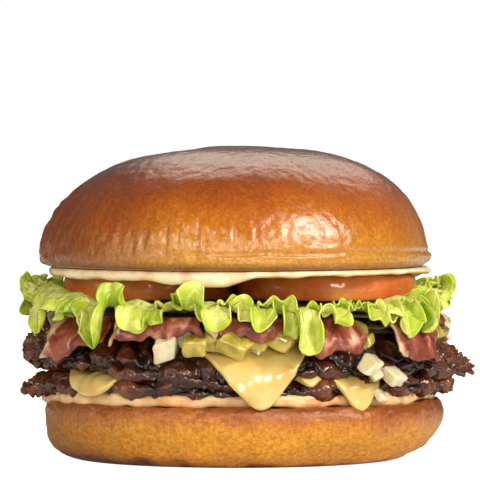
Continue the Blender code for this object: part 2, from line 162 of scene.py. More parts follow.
def built(name, points, quads, triangles, finish):
    """A mesh object at the origin from points in millimetres and arrays of corner numbers."""
    mesh = bpy.data.meshes.new(name)
    mesh.vertices.add(len(points))
    mesh.vertices.foreach_set("co", (points * MM).ravel())
    corners = np.concatenate([quads.ravel(), triangles.ravel()]).astype(np.int32)
    mesh.loops.add(len(corners))
    mesh.loops.foreach_set("vertex_index", corners)
    sizes = np.concatenate([np.full(len(quads), 4), np.full(len(triangles), 3)])
    mesh.polygons.add(len(sizes))
    mesh.polygons.foreach_set("loop_start", np.concatenate([[0], np.cumsum(sizes)[:-1]]).astype(np.int32))
    mesh.update(calc_edges=True)
    mesh.shade_smooth()
    mesh.materials.append(finish)
    piece = bpy.data.objects.new(name, mesh)
    bpy.context.scene.collection.objects.link(piece)
    return piece


def raised(grid, height):
    """Moves a grid that closes round its columns outwards by height, along its own normals."""
    along = np.roll(grid, -1, axis=1) - np.roll(grid, 1, axis=1)
    up = np.gradient(grid, axis=0)
    normal = np.cross(along, up)
    length = np.linalg.norm(normal, axis=-1, keepdims=True)
    return grid + normal / np.maximum(length, 1e-9) * height[..., None]


def closed(grid, start=0):
    """Points, quads and triangles of a closed skin over a grid whose rows run from the middle of the
    underside to the middle of the top, and whose columns run once round. The first and last row each
    close in one point. start is the number of the first point."""
    rows, columns = grid.shape[:2]
    points = np.concatenate([grid[:1].mean(axis=1), grid[1:-1].reshape(-1, 3), grid[-1:].mean(axis=1)])
    ring = np.arange(columns)
    following = np.roll(ring, -1)
    first = start + 1 + np.arange(rows - 3)[:, None] * columns
    above_first = first + columns
    quads = stacked(first + ring, first + following, above_first + following, above_first + ring)
    last = start + 1 + (rows - 3) * columns
    below = stacked(start, start + 1 + following, start + 1 + ring)
    above = stacked(last + ring, last + following, last + columns)
    return points, quads.reshape(-1, 4), np.concatenate([below, above])


def closed_shell(name, grid, finish, shade=None):
    """A closed skin over one grid. shade is a value for each point that the material may read."""
    piece = built(name, *closed(grid), finish)
    if shade is not None:
        values = np.concatenate([shade[:1].mean(axis=1), shade[1:-1].ravel(), shade[-1:].mean(axis=1)])
        piece.data.attributes.new("shade", "FLOAT", "POINT").data.foreach_set("value", values)
    return piece


def baked_side_crust():
    """Brioche crust on the side of a roll: golden and finely pored, with painted shade that darkens it
    towards the left, away from the key light, and a reddish toasted rim that butter has made glossy."""
    finish, place = new_finish(
        "baked brioche side crust", IOR=1.42, Roughness=0.55, Specular_IOR_Level=0.2, Coat_Roughness=0.15,
    )
    axes = add_node(finish, "SeparateXYZ", {0: place})
    broad = add_node(finish, "TexNoise", {"Vector": place, "Scale": 1 / (9 * MM), "Detail": 5.0})
    waver = add_node(finish, "Math", {0: broad, 1: 0.008, 2: axes.outputs["Z"]}, operation="MULTIPLY_ADD")
    tilted = add_node(finish, "Math", {0: axes.outputs["X"], 1: 0.03, 2: waver}, operation="MULTIPLY_ADD")
    level = add_node(finish, "MapRange", {0: tilted, 1: 0.003, 2: 0.004 + HEEL_TOP * MM})
    tone = add_node(finish, "ValToRGB", {0: level}, stops=(
        (0.0, "#3e1806"), (0.05, "#965218"), (0.13, "#dc9c30"), (0.24, "#eeb03c"), (0.6, "#f0b43e"),
        (0.74, "#e29832"), (0.84, "#c87a26"), (1.0, "#a65a18"),
    ))
    # Painted shade: the crust darkens towards the left, away from the key light.
    leftward = add_node(finish, "MapRange", {0: axes.outputs["X"], 1: -0.020, 2: -0.052, 4: 0.6})
    shaded = add_node(finish, "Mix", {0: leftward, 6: tone, 7: linear("#97602c")}, data_type="RGBA")
    blister = add_node(finish, "TexNoise", {
        "Vector": place, "Scale": 1 / (1.2 * MM), "Detail": 6.0, "Roughness": 0.8,
    })
    mottle = add_node(finish, "ValToRGB", {0: blister}, stops=(
        (0.36, "#b67c48"), (0.5, "#ecd2a6"), (0.62, "#fffcf0"),
    ))
    colour = add_node(
        finish, "Mix", {0: 0.8, 6: shaded.outputs[2], 7: mottle},
        data_type="RGBA", blend_type="MULTIPLY",
    )
    buttered = add_node(finish, "MapRange", {0: level, 1: 0.5, 2: 0.85, 3: 0.3, 4: 1.0})
    pits = add_node(finish, "TexNoise", {
        "Vector": place, "Scale": 1 / (1.1 * MM), "Detail": 5.0, "Roughness": 0.7,
    })
    relief = add_node(finish, "Bump", {"Strength": 1.0, "Distance": 0.0011, "Height": pits})
    glaze = add_node(finish, "Bump", {"Strength": 0.4, "Distance": 0.0006, "Height": pits})
    wire(finish, Base_Color=colour.outputs[2], Coat_Weight=buttered, Normal=relief, Coat_Normal=glaze)
    return finish


def heel_grid(columns=480, rows=124):
    """Rows run up the shape: a flat foot, a side that follows a quarter of an ellipse outwards, a
    small quarter round at the top edge and a flat cut face."""
    angle, level = round_and_up(columns, rows)
    turn = np.radians(angle)
    radius = HEEL_RADIUS * (1 + 0.008 * np.sin(2 * turn + 1.1) + 0.006 * np.sin(5 * turn))
    foot, side, edge, edge_round = 0.25, 0.95, 0.35, 1.9
    rise = np.clip((level + 1 - foot) / side, 0, 1) * math.pi / 2
    within = np.clip((level + 1) / foot, 0, 1)
    lower = (HEEL_FOOT_RADIUS + (radius - HEEL_FOOT_RADIUS) * np.sin(rise)) * within
    over = np.clip((level + 1 - foot - side) / edge, 0, 1) * math.pi / 2
    inward = np.clip((1 - level) / (2 - foot - side - edge), 0, 1)
    upper = (radius - edge_round * (1 - np.cos(over))) * inward
    out = np.where(over > 0, upper, lower)
    height = HEEL_WIDEST * (1 - np.cos(rise)) + (HEEL_TOP - HEEL_WIDEST) * np.sin(over)
    grid = polar(angle, out, height)
    grid[..., 0] += HEEL_FOOT_X + (HEEL_CENTRE_X - HEEL_FOOT_X) * ramp(grid[..., 2] / HEEL_WIDEST)
    on_side = ramp((out - HEEL_FOOT_RADIUS) / 4) * ramp((HEEL_TOP + 0.3 - height) / 0.6)
    on_side = on_side * ramp(height / 1.5)
    upright = stacked(turn * RIM / 1.5, height / 5, 0.0)
    cracks = 0.22 * np.minimum(np.abs(cloud(upright, 1.0, 9)) / 0.12, 1) - 0.22
    dents = 0.6 * cloud(grid, 11.0, 1) + 0.3 * cloud(grid, 4.2, 2) + 0.2 * cloud(grid, 1.7, 3) + cracks
    return raised(grid, (dents + 0.06 * cloud(grid, 0.8, 4) - 0.2) * on_side)


heel = closed_shell("heel", heel_grid(), baked_side_crust())
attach(heel, "root")
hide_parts("heel_bun")


# Burger sauce: mayonnaise stained with tomato and spice, spread on the heel and squeezed out into
# an uneven bead by the patty that lies on it.
SAUCE_REACH = 54.7
SAUCE_HEIGHT = 17.9
SAUCE_NOTCHES = ((6.5, 12.0), (35.0, 9.0))


def creamy(name, light, dark, seed):
    """An emulsion of oil and egg: it scatters light inside, is smooth, and has a wet gloss. Flecks of
    spice tint it unevenly."""
    finish, place = new_finish(
        name, Roughness=0.28, IOR=1.46, Subsurface_Weight=0.5, Subsurface_Scale=0.002,
        Subsurface_Radius=(1.0, 0.6, 0.35),
    )
    stain = add_node(finish, "TexNoise", {
        "Vector": place, "Scale": 1 / (6 * MM), "Detail": 4.0, "W": seed,
    }, noise_dimensions="4D")
    colour = add_node(finish, "ValToRGB", {0: stain}, stops=((0.34, dark), (0.56, light)))
    drag = add_node(finish, "TexNoise", {"Vector": place, "Scale": 1 / (2.4 * MM)})
    relief = add_node(finish, "Bump", {"Strength": 0.3, "Distance": 0.0005, "Height": drag})
    wire(finish, Base_Color=colour, Normal=relief)
    return finish


def sauce_grid(columns=560, rows=50):
    """A thin spread whose last few millimetres swell into a round bead. The bead's outline and height
    waver with noise read along a ring."""
    angle, level = round_and_up(columns, rows)
    ring = polar(angle, RIM, 0.0)
    reach = SAUCE_REACH + 0.9 * cloud(ring, 11.0, 5) + 0.7 * cloud(ring, 5.0, 6)
    for centre, half_width in SAUCE_NOTCHES:
        reach = reach - 0.9 * bump(angle, centre, half_width)
    reach = reach + 1.6 * bump(angle, -84, 9)
    out = reach * (1 - np.abs(level) ** 3.2)
    bead = 1.9 + 0.7 * cloud(ring, 7.0, 7) + 0.25 * cloud(ring, 3.0, 10)
    swell = ramp((out - reach + 6.5) / 4.5)
    tip = np.clip(1 - np.clip((out - reach + bead) / bead, 0, 1) ** 3, 0, 1) ** 0.4
    middle = SAUCE_HEIGHT + 0.8 * swell - 0.8 * bump(angle, -84, 9) * swell
    half = (0.5 + (bead - 0.5) * swell) * tip
    grid = polar(angle, out, middle + np.sign(level) * half)
    return raised(grid, 0.25 * cloud(grid, 4.0, 8) * swell)


sauce = closed_shell(
    "sauce_spread", sauce_grid(), creamy("whipped burger sauce", "#ebc592", "#d6965c", 0.0)
)
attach(sauce, "root")
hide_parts("burger_sauce")


# Lower patty: loose ground beef smashed thin on a hot plate, so its edge is a dark, craggy, lacy
# crust that glistens with fat. It fries into lumps a few millimetres across.
LOWER_PATTY = (18.8, 25.8)
LOWER_REACH = (
    (-90, 60.8), (-72, 58.0), (-52, 56), (-30, 55.4), (-22, 56.6), (-14, 54.8), (0, 54.4), (30, 55),
    (60, 57.2), (88, 59.2), (120, 57.5), (150, 56), (185, 55.5), (215, 56.5), (245, 58.5),
)
LOWER_EDGE = (
    (-90, 19.8), (-60, 21.2), (-30, 21.6), (0, 21.0), (30, 21.4), (60, 21.6), (90, 21.2),
    (150, 21.0), (210, 21.0), (240, 20.6),
)
DROOP_START = 40.0
LARGE_LUMP = 10.0
SMALL_LUMP = 4.2
GRIT = 2.4


def around(angle, stations):
    """The value at an angle, smooth between (angle, value) stations round a full turn."""
    angles, values = np.array([*stations, (stations[0][0] + 360, stations[0][1])], float).T
    turned = (angle - angles[0]) % 360 + angles[0]
    before = np.clip(np.searchsorted(angles, turned, side="right") - 1, 0, len(angles) - 2)
    share = (turned - angles[before]) / (angles[before + 1] - angles[before])
    return values[before] + (values[before + 1] - values[before]) * ramp(share)


def clumps(points, size, seed):
    """How far each point is from the nearest of the seeds scattered one to a cell, and how much nearer
    that is than the next one, both in cells. The second is 0 on the creases between clumps."""
    scaled = points / size
    cell = np.floor(scaled).astype(np.int64)
    nearest = np.full(points.shape[:-1], 9.0)
    second = nearest.copy()
    for step in itertools.product((-1, 0, 1), repeat=3):
        corner = cell + np.array(step)
        jitter = stacked(*[scattered(corner, seed + extra) for extra in (0, 17, 31)])
        away = np.linalg.norm(corner + jitter - scaled, axis=-1)
        second = np.minimum(second, np.maximum(nearest, away))
        nearest = np.minimum(nearest, away)
    return nearest, second - nearest


def patty_form(angle, share, heights, reach, edge):
    """(radius, middle height, half thickness) at a share of the way out: flat in the middle, and
    drooping to the edge's height beyond DROOP_START."""
    limit = around(angle, reach)
    radius = share * limit
    fall = np.clip((radius - DROOP_START) / (limit - DROOP_START), 0, 1) ** 2
    middle = sum(heights) / 2 + (around(angle, edge) - sum(heights) / 2) * fall
    bluntness = 8 + 10 * bump(angle, -92, 16) + 8 * bump(angle, 92, 14)
    half = (heights[1] - heights[0]) / 2 * np.sqrt(np.maximum(1 - share**bluntness, 0))
    return radius, middle, half


def patty_grid(heights, reach, edge, swollen, seed, columns=960, rows=97):
    """A disc with a superellipse for its rim, raised by large and small lumps with creases between
    them, and by grit. The rim is thicker by swollen, and towards the left and right ends it frays
    into long flakes."""
    angle, slope = round_and_up(columns, rows, math.pi / 2)
    share = np.clip(np.cos(slope), 0, 1) ** 0.24
    radius, middle = patty_form(angle, share, heights, reach, edge)[:2]
    thin = 1 - 0.25 * (bump(angle, -92, 14) + bump(angle, 90, 12)) * ramp((share - 0.9) / 0.1)
    thick = (heights[1] - heights[0]) / 2 * thin + around(angle, swollen) * ramp((share - 0.7) / 0.22)
    grid = polar(angle, radius, middle + np.sin(slope) * thick)
    rim = ramp((share - 0.62) / 0.22)
    ends = np.minimum(bump(angle, -90, 20) + bump(angle, 90, 18), 1)
    stretched = stacked(np.radians(angle) * RIM / 1.4, radius / 9, grid[..., 2] / 1.5)
    fray = 0.9 - 2.6 * np.abs(cloud(stretched, 1.0, seed + 5))
    fray = fray - 0.9 * np.abs(cloud(stretched, 0.45, seed + 6))
    warped = grid + 1.3 * stacked(*[cloud(grid, 4.0, seed + extra) for extra in (1, 2, 3)])
    near_large, gap_large = clumps(warped, LARGE_LUMP, seed)
    near_small, gap_small = clumps(warped, SMALL_LUMP, seed + 40)
    large = 3.0 * (0.55 - near_large**2) * ramp(gap_large / 0.35) - 1.0 * (1 - ramp(gap_large / 0.12))
    small = 1.1 * (0.4 - near_small**2) * ramp(gap_small / 0.35)
    grit = 0.35 - 0.95 * np.abs(cloud(grid, GRIT, seed + 7)) + 0.2 * cloud(grid, 0.9, seed + 8)
    grit = grit * (0.6 + 0.4 * ends)
    height = (large * (1 - 0.5 * ends) + small + grit - 0.3) * rim
    height = height + 2.0 * fray * ends * ramp((share - 0.84) / 0.1)
    # Painted shade: lower relief, down in the creases, gets a lower shade value, which darkens the beef's
    # colour.
    shade = np.clip(0.5 + 0.28 * height, 0, 1)
    return raised(grid, height), shade


def seared_beef():
    """Browned ground beef: reddish brown, with painted shade that makes it near black in its creases and
    lighter on its lumps, paler and greyer where its ends dried, and wet with fat, which gives small sharp
    glints."""
    finish, place = new_finish(
        "seared ground beef", IOR=1.4, Specular_IOR_Level=0.15, Coat_Weight=1.0, Coat_Roughness=0.1
    )
    # The shade attribute is painted shade, darkest in the creases between lumps.
    depth = add_node(finish, "Attribute", attribute_name="shade").outputs["Fac"]
    fine = add_node(finish, "TexNoise", {"Vector": place, "Scale": 1 / (1.6 * MM), "Detail": 6.0})
    mixed = add_node(finish, "Math", {0: fine, 1: 0.55, 2: depth}, operation="MULTIPLY_ADD")
    level = add_node(finish, "MapRange", {0: mixed, 1: 0.3, 2: 1.3})
    tone = add_node(finish, "ValToRGB", {0: level}, stops=(
        (0.0, "#120401"), (0.38, "#2a0e05"), (0.6, "#481d0b"), (0.82, "#602e14"), (1.0, "#804a26"),
    ))
    across = add_node(finish, "SeparateXYZ", {0: place}).outputs["X"]
    far = add_node(finish, "Math", {0: across}, operation="ABSOLUTE")
    dried = add_node(finish, "MapRange", {0: far, 1: 0.050, 2: 0.066, 4: 0.5})
    colour = add_node(finish, "Mix", {0: dried, 6: tone, 7: linear("#8a563a")}, data_type="RGBA")
    grease = add_node(finish, "TexNoise", {"Vector": place, "Scale": 1 / (5 * MM), "Detail": 3.0})
    wet = add_node(finish, "MapRange", {0: grease, 1: 0.35, 2: 0.65, 3: 0.18, 4: 0.45})
    grain = add_node(finish, "TexNoise", {
        "Vector": place, "Scale": 1 / (0.8 * MM), "Detail": 3.0, "Roughness": 0.6,
    })
    relief = add_node(finish, "Bump", {"Strength": 0.9, "Distance": 0.0008, "Height": grain})
    film = add_node(finish, "Bump", {"Strength": 0.3, "Distance": 0.0008, "Height": fine})
    wire(finish, Base_Color=colour.outputs[2], Roughness=wet, Normal=relief, Coat_Normal=film)
    return finish


beef_finish = seared_beef()
lower_form = (LOWER_PATTY, LOWER_REACH, LOWER_EDGE)
LOWER_SWELL = (
    (-90, -0.8), (-60, 0.2), (-31, 0.5), (-22, 2.1), (-15, 0.7), (30, 0.6), (90, 0.4), (180, 0.4),
)
lower_skin, lower_shade = patty_grid(*lower_form, LOWER_SWELL, seed=100)
lower_beef = closed_shell("beef_lower", lower_skin, beef_finish, lower_shade)
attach(lower_beef, "root")
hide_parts("lower_patty")


# Lower cheese: a square processed-cheese slice, melted by the patties it lies between. Its corners
# have gone round, and one runs down over the patty's edge.
CHEESE_THICKNESS = 1.5
CHEESE_HALF_SIDE = 43.5
LOWER_CHEESE_CORNER = 38.0
LOWER_DRIPS = ((35, 6, 6.5), (20, 5, 6.0), (-42, 12, 5.6))


def over_the_shoulder(angle, form, hang=None, steps=90):
    """The line over a patty from its middle to its edge and then straight down, at each angle: radius,
    height and distance travelled, with the edge second from the end."""
    share = np.sin(np.linspace(0, math.pi / 2, steps))[None, :]
    radius, middle, half = patty_form(angle[:, None], share, *form)
    height = middle + half
    if hang is not None:
        radius = radius * np.maximum(hang[:, None] / radius[:, -1:], 1)
    radius = np.concatenate([radius, radius[:, -1:] + 0.01], axis=1)
    height = np.concatenate([height, height[:, -1:] - 40], axis=1)
    run = np.hypot(np.diff(radius, axis=1), np.diff(height, axis=1))
    travelled = np.concatenate([np.zeros((len(angle), 1)), np.cumsum(run, axis=1)], axis=1)
    return radius, height, travelled


def draped(angle, length, lift, form, hang=None):
    """Points of a sheet that lies over a patty and hangs past its edge. length is a grid of distances
    from the middle along the sheet, one column for each angle, and lift is how far it stands off."""
    radius, height, travelled = over_the_shoulder(angle, form, hang)
    column = np.arange(len(angle))[None, :]
    length = np.clip(length, 0.0, travelled[:, -1] - 0.01)
    index = (travelled[None] <= length[..., None]).sum(axis=-1) - 1
    index = np.clip(index, 0, travelled.shape[1] - 2)
    part = (length - travelled[column, index]) / (travelled[column, index + 1] - travelled[column, index])
    slope_out, slope_up = np.gradient(radius, axis=1), np.gradient(height, axis=1)
    norm = np.hypot(slope_out, slope_up)
    slope_out, slope_up = slope_out / norm, slope_up / norm

    def between(table):
        return table[column, index] * (1 - part) + table[column, index + 1] * part

    out = between(radius) - lift * between(slope_up)
    return polar(angle, out, between(height) + lift * between(slope_out))


def square_reach(angle, corner):
    """How far a square sheet with melted corners reaches, with one corner at the given angle: a
    superellipse of power 7."""
    turn = np.radians(angle - corner + 45)
    return CHEESE_HALF_SIDE / (np.abs(np.cos(turn)) ** 7 + np.abs(np.sin(turn)) ** 7) ** (1 / 7)


def cheese_grid(corner, form, drips, hang, seed, columns=600, rows=64):
    """A draped sheet with a round edge. drips are (angle, half width, extra length) where it runs, and
    slow noise makes it sag between the lumps under it."""
    angle, level = round_and_up(columns, rows)
    ring = polar(angle, RIM, 0.0)
    reach = square_reach(angle, corner) + 0.7 * cloud(ring, 9.0, seed) + 0.3 * cloud(ring, 3.0, seed + 1)
    for centre, half_width, extra in drips:
        reach = reach + extra * bump(angle, centre, half_width)
    length = reach * (1 - np.abs(level) ** 1.7)
    bead = 1 + 0.35 * (1 - ramp((reach - length - 0.5) / 3))
    half = CHEESE_THICKNESS / 2 * bead * round_nose(reach - length, 1.1)
    spot = polar(angle, length, 0.0)
    sag = 0.7 * cloud(spot, 7.0, seed + 2) + 0.4 * cloud(spot, 3.2, seed + 3)
    lift = 0.4 + CHEESE_THICKNESS / 2 + sag * ramp((length - 36) / 8) + np.sign(level) * half
    return draped(angle, length, lift, form, hang)


def melted_cheese():
    """Processed cheese: an even warm yellow that lets light in, with the soft gloss of melted fat."""
    finish, place = new_finish(
        "melted cheese slice", Roughness=0.27, IOR=1.45, Subsurface_Weight=0.45,
        Subsurface_Scale=0.0025, Subsurface_Radius=(1.0, 0.7, 0.25), Coat_Weight=0.9,
        Coat_Roughness=0.12,
    )
    blush = add_node(finish, "TexNoise", {"Vector": place, "Scale": 1 / (8 * MM), "Detail": 3.0})
    colour = add_node(finish, "ValToRGB", {0: blush}, stops=((0.35, "#d2ae5c"), (0.62, "#dac27c")))
    skin = add_node(finish, "TexNoise", {"Vector": place, "Scale": 1 / (2.0 * MM)})
    relief = add_node(finish, "Bump", {"Strength": 0.35, "Distance": 0.0005, "Height": skin})
    wire(finish, Base_Color=colour, Normal=relief)
    return finish


cheese_finish = melted_cheese()
all_round = np.arange(600) * 0.6
lower_cheese = closed_shell(
    "cheese_lower",
    cheese_grid(LOWER_CHEESE_CORNER, lower_form, LOWER_DRIPS, None, 200),
    cheese_finish,
)
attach(lower_cheese, "root")
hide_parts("lower_cheese")


# Upper patty: like the lower one, but it droops in front and its right end juts out as a dried,
# fibrous wing.
UPPER_PATTY = (28.1, 35.6)
UPPER_REACH = (
    (-90, 60.6), (-74, 58.6), (-58, 56), (-30, 55.6), (-12, 57.0), (0, 56.0), (18, 54.8), (30, 55),
    (50, 57), (68, 60), (86, 65.0), (98, 64), (118, 60), (150, 57), (185, 56.5), (215, 57.5),
    (245, 60),
)
UPPER_EDGE = (
    (-90, 31.8), (-74, 30.4), (-50, 28.4), (-30, 25.8), (-12, 23.2), (0, 24.4), (18, 26.4),
    (30, 26.8), (60, 26.6), (88, 24.9), (120, 27), (150, 26.6), (185, 27), (215, 26.6), (245, 29),
)
upper_form = (UPPER_PATTY, UPPER_REACH, UPPER_EDGE)
UPPER_SWELL = (
    (-110, 0.6), (-88, 3.2), (-70, 2.8), (-48, 1.0), (-30, 2.2), (-12, 3.0), (2, 2.2), (18, 1.2),
    (34, 1.8), (60, 1.2), (84, 0.4), (120, 0.6), (200, 0.8),
)
upper_skin, upper_shade = patty_grid(*upper_form, UPPER_SWELL, seed=150)
upper_beef = closed_shell("beef_upper", upper_skin, beef_finish, upper_shade)
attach(upper_beef, "root")
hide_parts("upper_patty")


# Upper cheese: its front corner has melted into a broad tongue that runs over both patties down to
# the sauce.
UPPER_CHEESE_CORNER = 7.0
UPPER_DRIPS = ((6.5, 8.5, 12.0), (-6, 9, 6.0), (17, 6, 2.5))
furthest = np.maximum(around(all_round, UPPER_REACH), around(all_round, LOWER_REACH))
upper_cheese = closed_shell(
    "cheese_upper",
    cheese_grid(UPPER_CHEESE_CORNER, upper_form, UPPER_DRIPS, furthest + 0.4, 220),
    cheese_finish,
)
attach(upper_cheese, "root")
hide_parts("upper_cheese")


# Relish: diced raw onion and pickled cucumber in their juice, heaped on the upper cheese. The
# heap's inside is one lumpy bed, and the dice round its edge sit on it. Ham strips press them in.
RELISH_INSET = 12.5
RELISH_LIFT = 4.0
RELISH_LUMP = 5.0


def relish_grid(columns=480, rows=60):
    """A thick draped sheet raised by clumps, with its edge RELISH_INSET in from the patty's."""
    angle, level = round_and_up(columns, rows)
    edge = over_the_shoulder(angle, upper_form)[2][:, -2]
    ring = polar(angle, 50.0, 0.0)
    reach = edge - RELISH_INSET + 2.0 * cloud(ring, 8.0, 300)
    length = reach * (1 - np.abs(level) ** 1.8)
    half = 1.2 * round_nose(reach - length, 3)
    grid = draped(angle, length, RELISH_LIFT + np.sign(level) * half, upper_form)
    near, gap = clumps(grid, RELISH_LUMP, 310)
    return raised(grid, 1.2 * (0.5 - near**2) * ramp(gap / 0.2) * (level > 0))


def wet_vegetable(name, light, dark, scatter, clear, seed):
    """Raw or pickled vegetable flesh: watery, so it scatters light inside and shines."""
    finish, place = new_finish(
        name, Roughness=0.15, IOR=1.38, Transmission_Weight=clear, Subsurface_Weight=0.6,
        Subsurface_Scale=scatter * MM, Subsurface_Radius=(1.0, 0.9, 0.6), Coat_Weight=0.9,
        Coat_Roughness=0.07,
    )
    cells = add_node(finish, "TexNoise", {
        "Vector": place, "Scale": 1 / (3 * MM), "Detail": 3.0, "W": seed,
    }, noise_dimensions="4D")
    colour = add_node(finish, "ValToRGB", {0: cells}, stops=((0.36, dark), (0.62, light)))
    relief = add_node(finish, "Bump", {"Strength": 0.4, "Distance": 0.0006, "Height": cells})
    wire(finish, Base_Color=colour, Normal=relief)
    return finish


def dice(name, places, seed, finish):
    """Knife-cut pieces, all in one mesh: superellipsoids stretched and skewed differently, with lumps,
    one for each (angle, radius, height, size)."""
    draw = np.random.default_rng(seed)
    round_steps, up_steps = 28, 17
    along = np.arange(round_steps) * 2 * math.pi / round_steps
    up = np.linspace(-math.pi / 2, math.pi / 2, up_steps)[:, None]

    def eased(wave, blunt):
        return np.sign(wave) * np.abs(wave) ** blunt

    skins = []
    start = 0
    for angle, radius, height, size in places:
        stretch = draw.uniform(0.62, 1.2, 3) * size / 2
        blunt = draw.uniform(0.26, 0.5)
        cube = stacked(
            eased(np.cos(up), blunt) * eased(np.cos(along), blunt),
            eased(np.cos(up), blunt) * eased(np.sin(along), blunt), eased(np.sin(up), blunt),
        )
        axes = np.linalg.qr(0.35 * draw.normal(size=(3, 3)) + np.eye(3))[0]
        axes = axes * np.sign(np.linalg.det(axes))
        shape = cube * stretch
        shape[..., 0] += draw.uniform(-0.5, 0.5) * shape[..., 2]
        shape[..., 1] += draw.uniform(-0.3, 0.3) * shape[..., 0]
        lumps = shape + draw.uniform(0, 500, 3)
        shape = shape * (1 + 0.1 * cloud(lumps, 2.6, seed) + 0.04 * cloud(lumps, 1.0, seed))[..., None]
        turn = math.radians(angle) + draw.uniform(-0.5, 0.5)
        spin = np.array([
            [math.cos(turn), -math.sin(turn), 0], [math.sin(turn), math.cos(turn), 0], [0, 0, 1],
        ])
        shape = shape @ axes.T @ spin.T + polar(float(angle), radius, height)
        skins.append(closed(shape, start))
        start += len(skins[-1][0])
    return built(name, *[np.concatenate(parts) for parts in zip(*skins)], finish)


def shoulder_places(spots, form):
    """(angle, radius, height, size) of pieces that rest on the upper cheese, for spots given as angle,
    distance in from the patty's edge, and size."""
    angle, inset, size = np.array(spots, float).T
    edge = over_the_shoulder(angle, form)[2][:, -2]
    at = draped(angle, (edge - inset)[None], (2.6 + 0.5 * size)[None], form)[0]
    return list(zip(angle, np.hypot(at[:, 0], at[:, 1]), at[:, 2], size))


# The pulp's dark olive is partly its own colour and partly painted shade, where it lies under the ham and
# lettuce.
relish_pulp = wet_vegetable("relish juice and pulp in painted shade", "#8f7c34", "#4f4418", 1.0, 0.0, 1.0)
bed = closed_shell("relish_bed", relish_grid(), relish_pulp)
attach(bed, "root")
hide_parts("relish")

FRONT_ONION = (
    (-20.8, 6.0, 6.0), (-15.6, 11.0, 6.2), (-12.0, 8.6, 5.4), (-33.0, 9.0, 4.4), (6.0, 8.5, 4.6),
    (70.0, 9.0, 4.8),
)
LOOSE_ONION = (
    (36.2, 60.4, 28.6, 6.0), (43.2, 61.6, 25.2, 5.6), (41.5, 58.2, 19.9, 3.6), (38.6, 59.6, 26.0, 4.0),
)
FRONT_PICKLE = (
    (-12.6, 7.6, 8.0), (-7.4, 9.6, 6.4), (-1.4, 6.4, 7.6), (5.5, 8.0, 6.0), (11.5, 6.4, 6.6),
    (20.0, 6.2, 4.6), (36.6, 7.6, 6.2), (38.8, 5.4, 4.6), (67.0, 8.6, 4.8), (74.0, 9.2, 4.6),
)
PRESSED_IN = ((98, 18, 6.0), (116, 9, 3.0), (150, 11, 5.0), (181, 10, 2.0), (210, 10, 5.0), (240, 9, 4.0))
spread = np.random.default_rng(11)
rear = []
for way in range(100, 258, 4):
    inset = spread.uniform(4.0, 9.5)
    for centre, half_width, depth in PRESSED_IN:
        inset = inset + depth * bump(way, centre, half_width)
    rear.append((way + spread.uniform(-1.5, 1.5), inset, spread.uniform(4.2, 6.0)))
onion = dice(
    "onion_dice", shoulder_places(FRONT_ONION + tuple(rear[::2]), upper_form) + list(LOOSE_ONION), 21,
    wet_vegetable("raw white onion", "#f0e6c8", "#d8cc9c", 2.6, 0.15, 2.0),
)
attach(onion, "root")
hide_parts("onion_piece_upper", "onion_piece_middle", "onion_piece_lower")
pickle = dice(
    "pickle_dice", shoulder_places(FRONT_PICKLE + tuple(rear[1::2]), upper_form), 22,
    wet_vegetable("pickled cucumber", "#e0cc62", "#a8982e", 2.2, 0.2, 3.0),
)
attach(pickle, "root")


# Ham: thin slices of dry-cured ham torn into strips, dark red with streaks and a rim of pale fat,
# laid over the relish and hanging past it.
HAM_STRIPS = (
    (-48, 13, -4, 28.0, 35.0, 8.0, 59.6), (-24, 13.5, 0, 34.5, 37.5, 3.5, 58.3),
    (4, 12.5, 0, 36.6, 35.0, 4.0, 58.8), (26.5, 9, 0, 31.0, 32.6, 8.0, 58.8),
    (51, 10, 5, 31.5, 28.0, 8.0, 60.6), (83, 9, -3, 38.8, 38.2, 3.5, 57.6),
    (116, 9, 3, 31.5, 29.0, 8.0, 63.6), (150, 11, -4, 28.5, 31.0, 8.0, 60.4),
    (181, 10, 0, 38.0, 39.0, 3.5, 59.8), (210, 10, 4, 29.0, 28.0, 8.0, 60.8),
    (240, 9, 0, 31.0, 33.0, 7.0, 62.8),
)
HAM_THICKNESS = 0.8
HAM_HEIGHT = 41.4
HAM_INNER = 26.0


def open_sheet(name, grid, finish, thickness, chart=None):
    """A sheet over a grid, thickened evenly to both sides. chart gives each point's place on the flat
    sheet, for materials that follow it."""
    rows, columns = grid.shape[:2]
    corner = np.arange(rows - 1)[:, None] * columns + np.arange(columns - 1)
    quads = stacked(corner, corner + 1, corner + columns + 1, corner + columns).reshape(-1, 4)
    piece = built(name, grid.reshape(-1, 3), quads, np.zeros((0, 3), int), finish)
    if chart is not None:
        layer = piece.data.uv_layers.new(name="chart")
        layer.data.foreach_set("uv", chart.reshape(-1, 2)[quads.ravel()].ravel())
    shell = piece.modifiers.new("thickness", "SOLIDIFY")
    shell.thickness = thickness * MM
    shell.offset = 0.0
    shell.use_even_offset = False
    return piece


